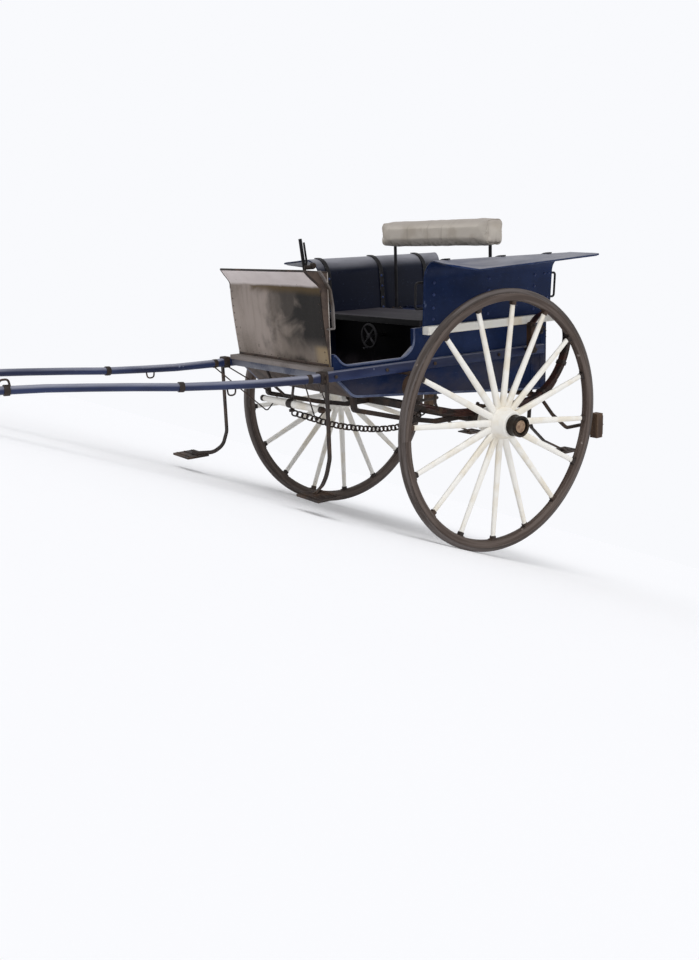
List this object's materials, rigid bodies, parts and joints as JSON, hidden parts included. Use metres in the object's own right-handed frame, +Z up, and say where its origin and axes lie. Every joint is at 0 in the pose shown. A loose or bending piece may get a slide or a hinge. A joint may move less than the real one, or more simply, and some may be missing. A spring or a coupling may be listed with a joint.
{
  "type": "horse-drawn carriage",
  "caption": "Two-wheeled carriage for one horse, resting on its shafts: high spoked wheels, box body, seats back to back with a padded rail between them, dash, steps and a swinging draught bar.",
  "frame": {"origin": "middle of the outline on the floor, under the carriage as it stands parked on its wheels and shaft tips", "axes": "+X forward to the shaft tips, +Y to the left, +Z up"},
  "size_m": [3.745, 1.713, 1.7191],
  "materials": {
    "tyre_rubber": "worn",
    "brown_wood": "painted, worn",
    "cream_paint": "old gloss",
    "blue_paint": "old gloss",
    "grey_wood": "worn",
    "dash_leather": "stained",
    "canvas": "plain",
    "brown_leather": "worn",
    "rusty_iron": "painted, rusty",
    "black_iron": "painted",
    "brass_disc": "dull"
  },
  "bodies": {
    "frame": {"axle": "black_iron", "axle_stays": "black_iron", "backrest_cushion": "canvas", "backrest_posts": "black_iron", "brace_pins": "black_iron", "brake_blocks": "brown_wood", "brake_gear": "black_iron", "brake_lever": "black_iron", "chain": "black_iron", "dash": "dash_leather", "dash_foot": "blue_paint", "dash_irons": "black_iron", "floor_board": "blue_paint", "front_crossbar": "blue_paint", "front_seat": "grey_wood", "front_steps": "black_iron", "hand_wheel": "black_iron", "heel_board": "blue_paint", "leather_braces": "brown_leather", "left_panel": "blue_paint", "left_panel_irons": "black_iron", "left_rail": "cream_paint", "left_shaft": "blue_paint", "left_side_board": "blue_paint", "left_spring": "rusty_iron", "middle_board": "blue_paint", "rear_board": "blue_paint", "rear_seat": "blue_paint", "rear_steps": "black_iron", "right_panel": "blue_paint", "right_panel_irons": "black_iron", "right_rail": "cream_paint", "right_shaft": "blue_paint", "right_side_board": "blue_paint", "right_spring": "rusty_iron", "spring_hangers": "black_iron", "swingletree_guards": "black_iron", "swingletree_hanger": "black_iron", "tailboard_hinges": "black_iron", "toe_board": "blue_paint"},
    "left_wheel": {"left_tyre": "tyre_rubber", "left_felloe": "brown_wood", "left_spokes": "cream_paint", "left_hub_cap": "black_iron", "left_hub_disc": "brass_disc"},
    "right_wheel": {"right_tyre": "tyre_rubber", "right_felloe": "brown_wood", "right_spokes": "cream_paint", "right_hub_cap": "black_iron", "right_hub_disc": "brass_disc"},
    "swingletree_bar": {"swingletree": "cream_paint", "swingletree_irons": "black_iron"},
    "rear_flap": {"tailboard": "blue_paint", "tailboard_straps": "black_iron"}
  },
  "joints": [
    {"name": "left_wheel_spin", "type": "hinge", "parent": "frame", "child": "left_wheel", "pos_m": [-0.93581, 0.7175, 0.68007], "axis": [-0.0077, 0.9998, -0.0195], "continuous": true},
    {"name": "right_wheel_spin", "type": "hinge", "parent": "frame", "child": "right_wheel", "pos_m": [-0.93581, -0.7175, 0.68007], "axis": [0.0077, 0.9998, 0.0195], "continuous": true},
    {"name": "swingletree_swing", "type": "hinge", "parent": "frame", "child": "swingletree_bar", "pos_m": [-0.13387, 0, 0.4916], "axis": [0.3681, 0, 0.9298], "range_deg": [-5, 5]},
    {"name": "tailboard_drop", "type": "hinge", "parent": "frame", "child": "rear_flap", "pos_m": [-1.48237, 0, 0.96208], "axis": [0, -1, 0], "range_deg": [0, 80]}
  ]
}
